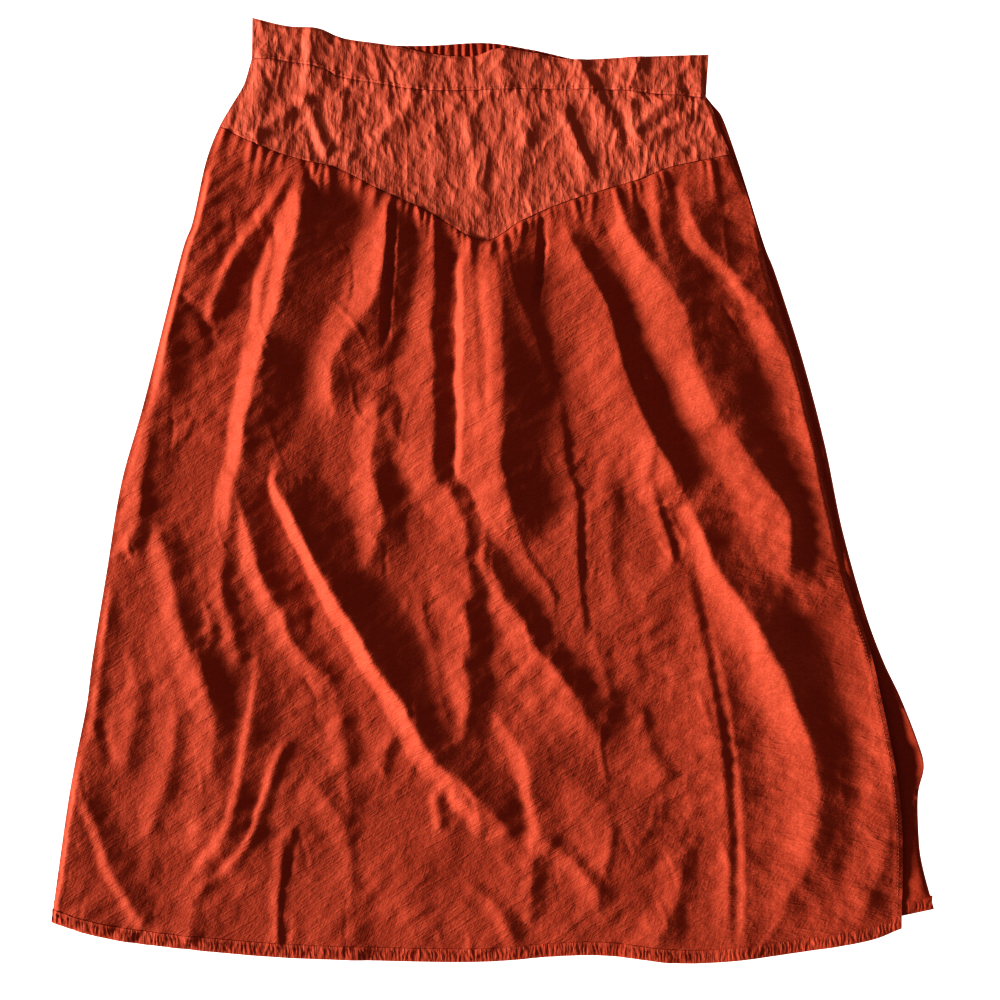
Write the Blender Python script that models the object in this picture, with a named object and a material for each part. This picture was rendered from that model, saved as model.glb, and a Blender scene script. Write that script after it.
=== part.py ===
"""A woven midi skirt that lies flat on a surface, front up.

The front has a flat waistband, a yoke that comes to a point, and a panel gathered into the yoke's
seam, with folds running down to a narrow turned hem. The back has an elasticated waistband and one
plain panel, which shows above the front waistband, beside the side seam and through the slit.

X runs across the skirt, +Y towards the waist and +Z up, with the floor at z = 0. The outlines and
folds below are measured on a plan of the skirt seen from above, in plan units from its top left,
with y down. One constant, the skirt's real length, turns plan units into metres.
"""

from collections import namedtuple

import bpy
import numpy as np
from mathutils.geometry import delaunay_2d_cdt

# Driving sizes, in metres.
SKIRT_LENGTH = 0.800  # waist to hem down the middle of the front
CLOTH = 0.0015  # thickness of the cloth's wall
SEAM_GAP = 0.0003  # between pieces, where they are sewn or lie on each other
GATHER_RISE = 0.0024  # of the small gathers under the yoke
ELASTIC_RISE = 0.0013  # of the elastic band's ribs
HEM_EXTRA = 0.0005  # what the turned hem adds to the cloth's thickness

# The plan: its scale, and the two lines that the skirt's box starts from.
PLAN_LENGTH = 909  # plan units down the middle of the front
UNIT = SKIRT_LENGTH / PLAN_LENGTH
PLAN_LEFT = 50.5
PLAN_RIGHT = 935.0
PLAN_TOP = 17.0
PLAN_BOTTOM = 964.5

# Counts and spacings. Spacings are in plan units.
GATHERS = 70  # along the front panel's top edge
ELASTIC_RIBS = 58  # along the back waistband
BAND_STEP = 12
HEM_STEP = 13
SIDE_STEP = 24
FOLD_STEP = 20
FILL_STEP = 40
LEAST_SPACING = 11

CLOTH_COLOUR = (0.47, 0.085, 0.038, 1.0)
CLOTH_ROUGHNESS = 0.82

# Outlines on the plan, as (x, y) points that smooth curves run through.
FRONT_BAND_TOP = [
    (252, 17), (285, 25), (318, 28), (345, 38), (390, 44.5), (438, 54),
    (473, 55.5), (498, 48), (533, 52), (573, 58.7), (640, 56), (709, 54),
]
BACK_BAND_TOP = [
    (252, 19), (300, 29), (345, 40), (390, 44.3), (430, 44.6), (486, 42),
    (533, 49), (588, 60), (650, 58), (709, 55),
]
FRONT_BAND_SEAM = [
    (251.5, 57.4), (280, 60), (315, 66), (342, 76.5), (372, 82), (410, 88),
    (449, 90), (534, 88.4), (618, 89.5), (650, 92.6), (706, 97),
]
BACK_BAND_SEAM = [
    (251.5, 57), (300, 63), (345, 76), (390, 82), (430, 84), (486, 82),
    (533, 86), (588, 89), (650, 91), (706, 95),
]
YOKE_SEAM = [
    (223, 126), (262, 145), (300, 158), (340, 168), (380, 188), (430, 211), (484, 240),
    (522, 221), (560, 204), (600, 191), (640, 179), (667, 168), (692, 162), (731, 154),
]
LEFT_SIDE = [
    (251.5, 57), (249, 66), (243, 85), (231, 105), (218, 128), (205, 163), (192, 222), (180, 257),
    (144, 400), (121, 482), (106, 572), (92, 658), (86, 705), (75, 760), (66, 812), (50.5, 923),
]
RIGHT_SEAM = [
    (706, 97), (713, 109), (721, 131), (731, 154), (745, 188), (757, 226), (767, 266),
    (790, 335), (810, 410), (833, 513), (846, 571), (861, 621),
]
SLIT_EDGE = [(861, 621), (870, 648), (881, 697), (892, 750), (901, 810), (903, 870), (902, 929)]
BACK_RIGHT_SIDE = [
    (706, 95), (714, 105), (723, 117), (736, 153), (748, 190), (765, 245), (777, 276), (803, 358),
    (826, 446), (843, 529), (866, 612), (884, 661), (901, 697), (918, 740), (925, 767),
    (919, 796), (920, 842), (924, 869), (935, 910),
]
FRONT_HEM = [
    (50.5, 923), (88, 935), (136, 944), (250, 956), (340, 960.4), (472, 963),
    (560, 957), (611, 957), (690, 964.5), (780, 956), (866, 942), (902, 929),
]
BACK_HEM = [
    (51.5, 915), (193, 938), (340, 946), (530, 948), (690, 949), (802, 938), (902, 917), (935, 910),
]
HEM_WIDTH = 12  # plan units, about 10 mm

# Each fold is a rounded ridge. Its height is in millimetres. Going down the plan, the cloth
# climbs over the width "rise" on the ridge's left and drops over "fall" on its right.
Fold = namedtuple("Fold", "name height rise fall crest")
PANEL_FOLDS = [
    Fold("left roll", 6, 14, 20, [(242, 130), (215, 178), (202, 212), (186, 262)]),
    Fold("left twin", 9, 24, 16, [(298, 150), (282, 198), (250, 228), (232, 272), (212, 318), (218, 360)]),
    Fold("right twin", 15, 22, 34, [(300, 150), (300, 230), (281, 290), (262, 365), (247, 415), (240, 480)]),
    Fold("left sweep", 13, 26, 30, [(238, 440), (247, 505), (262, 560), (290, 610), (335, 695)]),
    Fold("left diagonal", 19, 30, 34, [(252, 430), (285, 510), (348, 620), (420, 740), (535, 868)]),
    Fold("shoulder", 13, 36, 11, [(388, 180), (384, 255), (372, 300), (345, 342), (331, 375), (338, 425)]),
    Fold("left centre", 8, 30, 22, [(370, 385), (376, 430), (370, 465), (381, 512), (362, 580)]),
    Fold("centre left", 13, 28, 20, [(433, 200), (430, 290), (436, 395), (433, 462), (459, 510), (470, 590)]),
    Fold("centre left tail", 11, 32, 20, [(469, 560), (467, 640), (471, 695), (458, 765)]),
    Fold("centre step", 11, 14, 18, [(466, 225), (470, 300), (470, 400), (467, 480)]),
    Fold("centre", 14, 20, 26, [(492, 225), (503, 290), (507, 360), (506, 450), (522, 550)]),
    Fold("centre tail", 9, 24, 14, [(488, 555), (505, 600), (556, 668), (607, 738)]),
    Fold("right centre", 13, 44, 22, [(580, 190), (586, 262), (612, 315), (636, 395), (692, 506)]),
    Fold("right diagonal", 20, 34, 38, [(680, 480), (768, 640), (820, 758), (820, 825), (768, 955)]),
    Fold("right twin left", 10, 18, 10, [(622, 170), (632, 225), (648, 262), (672, 315)]),
    Fold("right twin right", 11, 16, 22, [(652, 160), (662, 235), (664, 262), (692, 305)]),
    Fold("broad hump", 10, 45, 26, [(668, 285), (700, 350), (768, 460), (793, 560), (800, 610)]),
    Fold("right shoulder", 13, 22, 24, [(684, 155), (715, 237), (775, 335), (802, 400)]),
    Fold("seam rise", 5, 30, 12, [(726, 150), (744, 205), (754, 235), (762, 268)]),
    Fold("seam edge", 8, 28, 10, [(800, 385), (820, 460), (833, 530), (846, 590)]),
    Fold("slit edge", 12, 28, 16, [(852, 600), (879, 700), (890, 800), (880, 875), (852, 955)]),
    Fold("thin crease", 5, 24, 7, [(556, 380), (566, 460), (577, 495), (578, 560), (586, 625)]),
    Fold("long crease left", 6, 26, 12, [(690, 590), (702, 660), (716, 760), (720, 850), (718, 960)]),
    Fold("long crease right", 6, 9, 14, [(718, 610), (733, 690), (745, 780), (746, 850), (742, 960)]),
    Fold("lower left", 9, 20, 18, [(146, 515), (172, 560), (183, 610), (214, 705), (211, 775)]),
    Fold("lower left inner", 8, 20, 20, [(256, 615), (253, 690), (238, 775), (222, 840), (184, 885)]),
    Fold("hem left", 8, 24, 18, [(92, 780), (119, 835), (113, 872), (150, 955)]),
    Fold("middle", 10, 26, 20, [(480, 705), (516, 738), (532, 780), (540, 825), (532, 862)]),
    Fold("hem right", 7, 26, 18, [(706, 835), (683, 865), (673, 905), (648, 955)]),
    Fold("hem crease", 4, 12, 8, [(300, 822), (285, 868), (278, 955)]),
]
YOKE_FOLDS = [
    Fold("pinch left", 4, 16, 16, [(314, 92), (282, 117), (246, 142)]),
    Fold("pinch down", 3.5, 12, 12, [(307, 94), (319, 119), (338, 150)]),
    Fold("left slope", 3, 24, 26, [(352, 92), (344, 130), (352, 165)]),
    Fold("right slope", 3.5, 18, 14, [(566, 100), (585, 155), (600, 190)]),
    Fold("right dip", 3, 14, 12, [(588, 88), (600, 105), (622, 138)]),
    Fold("right fan", 3, 12, 12, [(684, 92), (650, 115), (626, 140)]),
]
BACK_FOLDS = [
    Fold("slit roll", 4, 14, 10, [(892, 690), (910, 732), (914, 765), (908, 815)]),
]

# How far each change takes, in plan units.
FOLD_START = 90  # below the yoke's seam, where the folds grow to full size
LEFT_EDGE_FADE = 16  # folds come down to the side seam
RIGHT_EDGE_FADE = 14
SLIT_BLEND = 60  # below the slit's top, where the front's edge comes free of the back
BAND_BLEND = 30  # below the waistbands, where the front comes down onto the back panel
GATHER_FADE = 46  # the gathers' length
YOKE_BLEND = 24  # the yoke's edge rises onto the gathers
YOKE_GAP_SHARE = 0.7  # of the gap to each side of the slanting seam, measured down the plan
SLOPE_STEP = 2.0  # over which a surface's slope is taken
STEEPEST = 1.5  # the most that a slope deepens the wall below it
INSIDE_OUTLINE = 1  # the triangulation keeps only what is inside the outline


def eased(t):
    """0 to 1 along an S curve, as t goes from 0 to 1."""
    t = np.clip(t, 0.0, 1.0)
    return t * t * (3.0 - 2.0 * t)


def smooth_line(points, spacing):
    """Points about a spacing apart on a Catmull-Rom curve through the given ones."""
    given = np.array(points, float)
    ends = np.vstack([2 * given[0] - given[1], given, 2 * given[-1] - given[-2]])
    t = np.linspace(0, 1, 13)[:-1, None]
    fine = []
    for before, start, end, after in zip(ends, ends[1:], ends[2:], ends[3:]):
        bend = 2 * before - 5 * start + 4 * end - after
        twist = -before + 3 * start - 3 * end + after
        fine.append(0.5 * (2 * start + (end - before) * t + bend * t**2 + twist * t**3))
    fine = np.vstack(fine + [given[-1:]])
    along = np.r_[0, np.cumsum(np.hypot(*np.diff(fine, axis=0).T))]
    count = max(2, round(along[-1] / spacing) + 1)
    places = np.linspace(0, along[-1], count)
    return np.column_stack([np.interp(places, along, fine[:, axis]) for axis in (0, 1)])


def y_on(line, x):
    """Height on the plan of a line that runs left to right, at x."""
    fine = smooth_line(line, 3)
    return np.interp(x, fine[:, 0], fine[:, 1])


def x_on(line, y):
    """Place across the plan of a line that runs downwards, at y."""
    fine = smooth_line(line, 3)
    return np.interp(y, fine[:, 1], fine[:, 0])


def lowered(line, distance):
    """The line moved down the plan by a distance in metres, or up if it is negative."""
    return line + np.array([0.0, distance / UNIT])


def fold_height(fold, x, y, narrow):
    """Height in metres of one ridge: full on its crest, eased to nothing at its feet and ends."""
    crest = smooth_line(fold.crest, 5)
    along = np.gradient(crest, axis=0)
    along /= np.hypot(*along.T)[:, None]
    nearest = np.hypot(x[:, None] - crest[:, 0], y[:, None] - crest[:, 1]).argmin(axis=1)
    offset = np.column_stack([x, y]) - crest[nearest]
    tangent = along[nearest]
    side = offset[:, 0] * tangent[:, 1] - offset[:, 1] * tangent[:, 0]
    width = np.where(side < 0, fold.rise, fold.fall) * narrow
    flank = 1.0 - eased(np.hypot(*offset.T) / width)
    place = nearest / (len(crest) - 1)
    ends = eased(place / 0.15) * eased((1 - place) / 0.15)
    return 0.001 * fold.height * flank * ends


def folds_height(folds, x, y, narrow):
    """The ridges together: each stands up to its own height, and where two meet they blend."""
    cubes = sum(fold_height(fold, x, y, narrow) ** 3 for fold in folds)
    return np.cbrt(cubes)


def front_rest(x, y):
    """Top of the front where it has no fold: on the elastic band, then on the back panel."""
    on_panel = eased((y - y_on(FRONT_BAND_SEAM, x)) / BAND_BLEND)
    under = CLOTH + ELASTIC_RISE * (1 - on_panel) + SEAM_GAP
    return under + CLOTH


def front_top(x, y):
    """Top of the waistband, yoke and panel, without the small gathers."""
    below = y - y_on(YOKE_SEAM, x)
    grown = eased(0.35 + below / FOLD_START)
    folds = folds_height(PANEL_FOLDS, x, y, 0.4 + 0.6 * grown) * np.where(below > 0, grown, 0)
    folds += folds_height(YOKE_FOLDS, x, y, np.ones_like(x)) * eased(1 - below / YOKE_BLEND)
    right = np.where(y < SLIT_EDGE[0][1], x_on(RIGHT_SEAM, y), x_on(SLIT_EDGE, y))
    free = eased((y - SLIT_EDGE[0][1]) / SLIT_BLEND)
    left_fade = eased((x - x_on(LEFT_SIDE, y)) / LEFT_EDGE_FADE)
    right_fade = np.maximum(free, eased((right - x) / RIGHT_EDGE_FADE))
    seam = 0.5 * GATHER_RISE * eased(1 - np.abs(below) / YOKE_BLEND)
    return front_rest(x, y) + folds * left_fade * right_fade + seam


def gather_phase(x):
    """How many gathers lie left of x: they are closer in some places than in others."""
    along = (x - YOKE_SEAM[0][0]) / (YOKE_SEAM[-1][0] - YOKE_SEAM[0][0])
    uneven = 0.012 * np.sin(2 * np.pi * 3 * along) + 0.006 * np.sin(2 * np.pi * 7 * along + 1)
    return GATHERS * (along + uneven)


def panel_top(x, y):
    """Top of the front panel, with the small gathers that fade below the yoke's seam."""
    below = y - y_on(YOKE_SEAM, x)
    wave = np.cos(2 * np.pi * gather_phase(x))
    return front_top(x, y) + 0.5 * GATHER_RISE * (1 + wave) * eased(1 - below / GATHER_FADE)


def elastic_top(x, y):
    """Top of the back waistband, with a rib for each gather of its elastic."""
    along = (x - BACK_BAND_TOP[0][0]) / (BACK_BAND_TOP[-1][0] - BACK_BAND_TOP[0][0])
    wave = np.cos(2 * np.pi * ELASTIC_RIBS * along)
    return CLOTH + 0.5 * ELASTIC_RISE * (1 + wave)


def back_top(x, y):
    """Top of the back panel, flat but for the roll that shows beside the slit."""
    return CLOTH + folds_height(BACK_FOLDS, x, y, np.ones_like(x))


def hem_top(x, y):
    """Top of the front's turned hem, which is thicker than the panel."""
    return panel_top(x, y) + HEM_EXTRA


def underside(x, y, top, thickness):
    """Underside of a wall of even thickness, so that it lies deeper below the steep flanks."""
    across = (top(x + SLOPE_STEP, y) - top(x - SLOPE_STEP, y)) / (2 * SLOPE_STEP * UNIT)
    down = (top(x, y + SLOPE_STEP) - top(x, y - SLOPE_STEP)) / (2 * SLOPE_STEP * UNIT)
    steep = np.minimum(np.sqrt(1 + across**2 + down**2), STEEPEST)
    return top(x, y) - thickness * steep


def inside(outline, points):
    """Which points lie inside a closed outline."""
    x0, y0 = outline.T
    x1, y1 = np.roll(outline, -1, axis=0).T
    px, py = points[:, :1], points[:, 1:]
    spans = (y0 > py) != (y1 > py)
    level = np.where(y1 == y0, 1.0, y1 - y0)
    crosses = spans & (px < x0 + (py - y0) * (x1 - x0) / level)
    return crosses.sum(axis=1) % 2 == 1


def thinned(points, kept, spacing):
    """The points, in order of importance, that keep a spacing from the kept ones and each other."""
    room = np.empty((len(kept) + len(points), 2))
    room[: len(kept)] = kept
    used = len(kept)
    for point in points:
        if np.hypot(*(room[:used] - point).T).min() >= spacing:
            room[used] = point
            used += 1
    return room[len(kept) : used]


def fold_points(folds):
    """Points on each ridge's crest, its flanks and its feet, the highest ridge first."""
    lines = []
    for share in (0.0, 1.0, 0.5):
        for fold in sorted(folds, key=lambda fold: -fold.height):
            crest = smooth_line(fold.crest, FOLD_STEP)
            along = np.gradient(crest, axis=0)
            along /= np.hypot(*along.T)[:, None]
            right = np.column_stack([along[:, 1], -along[:, 0]])
            lines.append(crest + right * fold.fall * share)
            if share:
                lines.append(crest - right * fold.rise * share)
    return np.vstack(lines)


def fill_points(outline, step):
    """Staggered rows of points over an outline's box."""
    low, high = outline.min(axis=0), outline.max(axis=0)
    rows = []
    for row, y in enumerate(np.arange(low[1] + step / 2, high[1], step * 0.87)):
        x = np.arange(low[0] + step * (0.5 if row % 2 else 1.0), high[0], step)
        rows.append(np.column_stack([x, np.full_like(x, y)]))
    return np.vstack(rows)


def cloth_material(name):
    """The woven cloth, as a material of a piece's own."""
    material = bpy.data.materials.new(name + "_cloth")
    material.use_nodes = True
    surface = material.node_tree.nodes["Principled BSDF"]
    surface.inputs["Base Color"].default_value = CLOTH_COLOUR
    surface.inputs["Roughness"].default_value = CLOTH_ROUGHNESS
    surface.inputs["Metallic"].default_value = 0.0
    return material


def triangles_over(outline, inner):
    """Points on the plan and the triangles that join them inside an outline, all turning one way."""
    count = len(outline)
    plan = np.vstack([outline, inner[inside(outline, inner)]])
    edges = [(i, (i + 1) % count) for i in range(count)]
    net = delaunay_2d_cdt([tuple(point) for point in plan], edges, [], INSIDE_OUTLINE, 1e-4)
    points = np.array([tuple(point) for point in net[0]])
    triangles = np.array(net[2])
    first, second, third = (points[triangles[:, corner]] for corner in range(3))
    (ax, ay), (bx, by) = (second - first).T, (third - first).T
    backwards = ax * by > ay * bx
    triangles[backwards] = triangles[backwards][:, ::-1]
    return points, triangles


def cloth_piece(name, outline, inner, top, thickness=None):
    """A closed wall over an outline, with its underside flat on the floor if it has no thickness."""
    plan, triangles = triangles_over(outline, inner)
    x, y = plan.T
    total = len(plan)
    lower = np.zeros(total) if thickness is None else underside(x, y, top, thickness)
    place = [(x - (PLAN_LEFT + PLAN_RIGHT) / 2) * UNIT, ((PLAN_TOP + PLAN_BOTTOM) / 2 - y) * UNIT]
    verts = np.vstack([np.column_stack(place + [top(x, y)]), np.column_stack(place + [lower])])
    faces = triangles.tolist() + (triangles[:, ::-1] + total).tolist()
    sides = {(start, end) for a, b, c in triangles.tolist() for start, end in ((a, b), (b, c), (c, a))}
    for start, end in sorted(sides):
        if (end, start) not in sides:
            faces.append((start, start + total, end + total, end))
    mesh = bpy.data.meshes.new(name)
    mesh.from_pydata(verts.tolist(), [], faces)
    mesh.materials.append(cloth_material(name))
    mesh.shade_smooth()
    obj = bpy.data.objects.new(name, mesh)
    bpy.context.scene.collection.objects.link(obj)


def side_part(line, start_y, end_y, spacing):
    """The stretch of a downward line between two heights on the plan."""
    y = np.linspace(start_y, end_y, max(2, round((end_y - start_y) / spacing) + 1))
    return np.column_stack([x_on(line, y), y])


def front_waistband():
    """The flat strip over the yoke, lying on the elastic one."""
    upper = smooth_line(FRONT_BAND_TOP, BAND_STEP)
    lower = lowered(smooth_line(FRONT_BAND_SEAM, BAND_STEP), -SEAM_GAP / 2)
    outline = np.vstack([upper, lower[::-1]])
    inner = thinned(fill_points(outline, FOLD_STEP), outline, LEAST_SPACING)
    cloth_piece("front_waistband", outline, inner, front_top, CLOTH)


def back_band_edges():
    """The back waistband's upper edge and its seam, with a point on each rib and between ribs."""
    share = np.linspace(0, 1, 2 * ELASTIC_RIBS + 1)
    edges = []
    for line in (BACK_BAND_TOP, BACK_BAND_SEAM):
        x = line[0][0] + share * (line[-1][0] - line[0][0])
        edges.append(np.column_stack([x, y_on(line, x)]))
    return edges


def back_waistband():
    """The ribbed elastic strip, flat on the floor."""
    upper, seam = back_band_edges()
    lower = lowered(seam, -SEAM_GAP / 2)
    middle = (upper + lower)[1:-1] / 2
    outline = np.vstack([upper, lower[::-1]])
    cloth_piece("back_waistband", outline, middle, elastic_top)


def front_yoke():
    """The piece with a point in front, between the waistband and the gathered panel."""
    upper = lowered(smooth_line(FRONT_BAND_SEAM, BAND_STEP), SEAM_GAP / 2)
    seam, _ = gather_rows()
    lower = lowered(seam[::2], -YOKE_GAP_SHARE * SEAM_GAP)
    left = side_part(LEFT_SIDE, upper[0, 1], lower[0, 1], BAND_STEP)
    right = side_part(RIGHT_SEAM, upper[-1, 1], lower[-1, 1], BAND_STEP)
    outline = np.vstack([upper, right[1:-1], lower[::-1], left[1:-1][::-1]])
    inner = np.vstack([fold_points(YOKE_FOLDS), fill_points(outline, FOLD_STEP)])
    inner = thinned(inner, outline, LEAST_SPACING)
    cloth_piece("front_yoke", outline, inner, front_top, CLOTH)


def gather_rows():
    """A point for each crest and each trough of the gathers: a row on the seam and one below it."""
    x = np.linspace(YOKE_SEAM[0][0], YOKE_SEAM[-1][0], 4000)
    turns = np.arange(2 * GATHERS + 1) / 2
    x = np.interp(turns, gather_phase(x), x)
    on_seam = np.column_stack([x, y_on(YOKE_SEAM, x)])
    below = np.column_stack([x, y_on(YOKE_SEAM, x) + LEAST_SPACING])
    return on_seam, below[1:-1]


def front_panel():
    """The gathered piece: its outline runs along the yoke, the side seam, the slit and the hem."""
    seam, second_row = gather_rows()
    seam = lowered(seam, YOKE_GAP_SHARE * SEAM_GAP)
    lower = lowered(smooth_line(FRONT_HEM, HEM_STEP), -HEM_WIDTH * UNIT - SEAM_GAP / 2)
    left = side_part(LEFT_SIDE, seam[0, 1], lower[0, 1], SIDE_STEP)
    seam_side = side_part(RIGHT_SEAM, seam[-1, 1], RIGHT_SEAM[-1][1], SIDE_STEP)
    slit_side = side_part(SLIT_EDGE, SLIT_EDGE[0][1], lower[-1, 1], SIDE_STEP)
    lower[0, 0], lower[-1, 0] = left[-1, 0], slit_side[-1, 0]
    outline = np.vstack([seam, seam_side[1:], slit_side[1:-1], lower[::-1], left[1:-1][::-1]])
    inner = np.vstack([fold_points(PANEL_FOLDS), fill_points(outline, FILL_STEP)])
    inner = thinned(inner, np.vstack([outline, second_row]), LEAST_SPACING)
    inner = np.vstack([second_row, inner])
    cloth_piece("front_panel", outline, inner, panel_top, CLOTH)


def front_hem():
    """The front's turned edge."""
    lower = smooth_line(FRONT_HEM, HEM_STEP)
    upper = lowered(lower, -HEM_WIDTH * UNIT + SEAM_GAP / 2)
    upper[0, 0] = x_on(LEFT_SIDE, upper[0, 1])
    upper[-1, 0] = x_on(SLIT_EDGE, upper[-1, 1])
    outline = np.vstack([upper, lower[::-1]])
    cloth_piece("front_hem", outline, np.empty((0, 2)), hem_top, CLOTH + HEM_EXTRA)


def back_panel():
    """The plain piece that lies on the floor, wider than the front on the side of the slit."""
    _, seam = back_band_edges()
    upper = lowered(seam, SEAM_GAP / 2)
    lower = lowered(smooth_line(BACK_HEM, FILL_STEP), -HEM_WIDTH * UNIT - SEAM_GAP / 2)
    left = side_part(LEFT_SIDE, upper[0, 1], lower[0, 1], FILL_STEP)
    right = side_part(BACK_RIGHT_SIDE, upper[-1, 1], lower[-1, 1], FOLD_STEP)
    lower[0, 0], lower[-1, 0] = left[-1, 0], right[-1, 0]
    outline = np.vstack([upper, right[1:-1], lower[::-1], left[1:-1][::-1]])
    inner = thinned(fold_points(BACK_FOLDS), outline, LEAST_SPACING / 2)
    cloth_piece("back_panel", outline, inner, back_top, CLOTH)


def back_hem():
    """The back's turned edge, flat on the floor."""
    lower = smooth_line(BACK_HEM, FILL_STEP)
    upper = lowered(lower, -HEM_WIDTH * UNIT + SEAM_GAP / 2)
    upper[0, 0] = x_on(LEFT_SIDE, upper[0, 1])
    upper[-1, 0] = x_on(BACK_RIGHT_SIDE, upper[-1, 1])
    outline = np.vstack([upper, lower[::-1]])
    cloth_piece("back_hem", outline, np.empty((0, 2)), back_top)


def main():
    for obj in list(bpy.data.objects):
        bpy.data.objects.remove(obj, do_unlink=True)
    back_panel()
    back_hem()
    back_waistband()
    front_panel()
    front_hem()
    front_yoke()
    front_waistband()


main()
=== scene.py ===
"""Looks for a woven midi skirt that lies flat on a pale floor, front up, seen from straight above.

Every piece of cloth is a thin closed shell. Its upper side is a height over the plan of the skirt:
the level at which the cloth rests, plus folds placed one by one, plus gathers, puckers and fine
wrinkles. The plan has its own units, from the skirt's top left with y down, as the CAD part has.
"""

import math
from collections import namedtuple

import bpy
import numpy as np
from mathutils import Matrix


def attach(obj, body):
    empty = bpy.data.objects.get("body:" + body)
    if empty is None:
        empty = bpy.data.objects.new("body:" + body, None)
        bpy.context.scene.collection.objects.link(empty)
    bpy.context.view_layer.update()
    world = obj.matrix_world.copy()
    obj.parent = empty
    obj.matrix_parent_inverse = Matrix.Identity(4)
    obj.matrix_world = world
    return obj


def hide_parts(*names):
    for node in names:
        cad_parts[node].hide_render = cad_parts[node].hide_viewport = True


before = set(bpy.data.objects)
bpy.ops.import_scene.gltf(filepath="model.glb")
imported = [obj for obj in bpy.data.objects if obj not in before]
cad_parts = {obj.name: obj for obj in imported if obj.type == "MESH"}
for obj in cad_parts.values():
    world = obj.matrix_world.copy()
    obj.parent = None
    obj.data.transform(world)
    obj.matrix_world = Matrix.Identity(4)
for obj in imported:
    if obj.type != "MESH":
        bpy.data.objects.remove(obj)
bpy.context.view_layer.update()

# The plan's scale and middle, as in the CAD part.
UNIT = 0.800 / 909  # metres in a plan unit
MIDDLE_X = 492.75
MIDDLE_Y = 490.75

# Thicknesses and levels, in metres.
BACK_THICK = 0.0014
FRONT_THICK = 0.0010
SEAM_GAP = 0.0003
FRONT_REST = 0.0033  # top of the front where it lies flat on the back
BAND_LIFT = 0.0013  # the elastic band lifts the front waistband by this much
GATHER_RISE = 0.0024
EDGE_TOP = 0.0026  # top of the front's edge where it is sewn to the back
FRONT_LEAST = 0.0024  # the front's top is never lower than this, so that it clears the back
BAND_LEAST = 0.0030  # and the front waistband's top than this
OVER_BACK = BACK_THICK + 0.0001  # lowest the front's underside may be, over the back panel
OVER_ELASTIC = BACK_THICK + 0.0013  # lowest the front waistband's may be, on the elastic's usual rib
HEM_EXTRA = 0.0005
HEM_LAP = 0.0012  # the hem strips reach this far onto the panels

# Outlines on the plan, as (x, y) points that smooth curves run through.
FRONT_BAND_TOP = [
    (252, 17), (285, 25), (318, 28), (345, 38), (390, 44.5), (438, 54),
    (473, 55.5), (498, 48), (533, 52), (573, 58.7), (640, 56), (709, 54),
]
BACK_BAND_TOP = [
    (252, 19), (300, 29), (345, 40), (390, 44.3), (430, 44.6), (486, 42),
    (533, 49), (588, 60), (650, 58), (709, 55),
]
FRONT_BAND_SEAM = [
    (251.5, 57.4), (280, 60), (315, 66), (342, 76.5), (372, 82), (410, 88),
    (449, 90), (534, 88.4), (618, 89.5), (650, 92.6), (706, 97),
]
BACK_BAND_SEAM = [
    (251.5, 57), (300, 63), (345, 76), (390, 82), (430, 84), (486, 82),
    (533, 86), (588, 89), (650, 91), (706, 95),
]
YOKE_SEAM = [
    (223, 126), (262, 145), (300, 158), (340, 168), (380, 188), (430, 211), (484, 240),
    (522, 221), (560, 204), (600, 191), (640, 179), (667, 168), (692, 162), (731, 154),
]
LEFT_SIDE = [
    (251.5, 57), (249, 66), (243, 85), (231, 105), (218, 128), (205, 163), (192, 222), (180, 257),
    (144, 400), (121, 482), (106, 572), (92, 658), (86, 705), (75, 760), (66, 812), (50.5, 923),
]
RIGHT_SEAM = [
    (706, 97), (713, 109), (721, 131), (731, 154), (745, 188), (757, 226), (767, 266),
    (790, 335), (810, 410), (833, 513), (846, 571), (861, 621),
]
SLIT_EDGE = [(861, 621), (870, 648), (881, 697), (892, 750), (901, 810), (903, 870), (902, 929)]
BACK_RIGHT_SIDE = [
    (706, 95), (714, 105), (723, 117), (736, 153), (748, 190), (765, 245), (777, 276), (803, 358),
    (826, 446), (843, 529), (866, 612), (884, 661), (901, 697), (918, 740), (925, 767),
    (919, 796), (920, 842), (924, 869), (935, 910),
]
FRONT_HEM = [
    (50.5, 923), (88, 935), (136, 944), (250, 956), (340, 960.4), (472, 963),
    (560, 957), (611, 957), (690, 964.5), (780, 956), (866, 942), (902, 929),
]
BACK_HEM = [
    (51.5, 915), (193, 938), (340, 946), (530, 948), (690, 949), (802, 938), (902, 917), (935, 910),
]
# How wide the lit slope inside the left edge is at each y of the plan.
MARGIN = (
    (150, 250, 330, 400, 450, 520, 560, 620, 700, 800, 900),
    (7, 7, 9, 15, 22, 26, 16, 9, 8, 8, 5),
)
HEM_WIDTH = 12
SLIT_TOP = 621
FREED = 60  # plan units over which the cloth comes free at the slit's top
GROWTH = 70  # plan units over which a fold grows down the panel: at the seam it is a third of the way
SEAM_REACH = 24  # the yoke's seam lifts the cloth this far, and the yoke's folds end this far below it
CREST_ROUND = 2.6  # plan units over which a crest is rounded

# Each fold is a rounded ridge. Going down the plan, the cloth climbs over "rise" on the left of its
# crest and drops over "fall" on the right. Height is in millimetres, and below nothing for a groove.
# A height or width that changes along the crest is a list of evenly spaced values. Curve is the power
# with which the cloth climbs and drops, or a pair with one for each side, or 0 for an S curve. A
# higher power keeps more near the crest.
Fold = namedtuple("Fold", "height rise fall curve crest")

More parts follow.
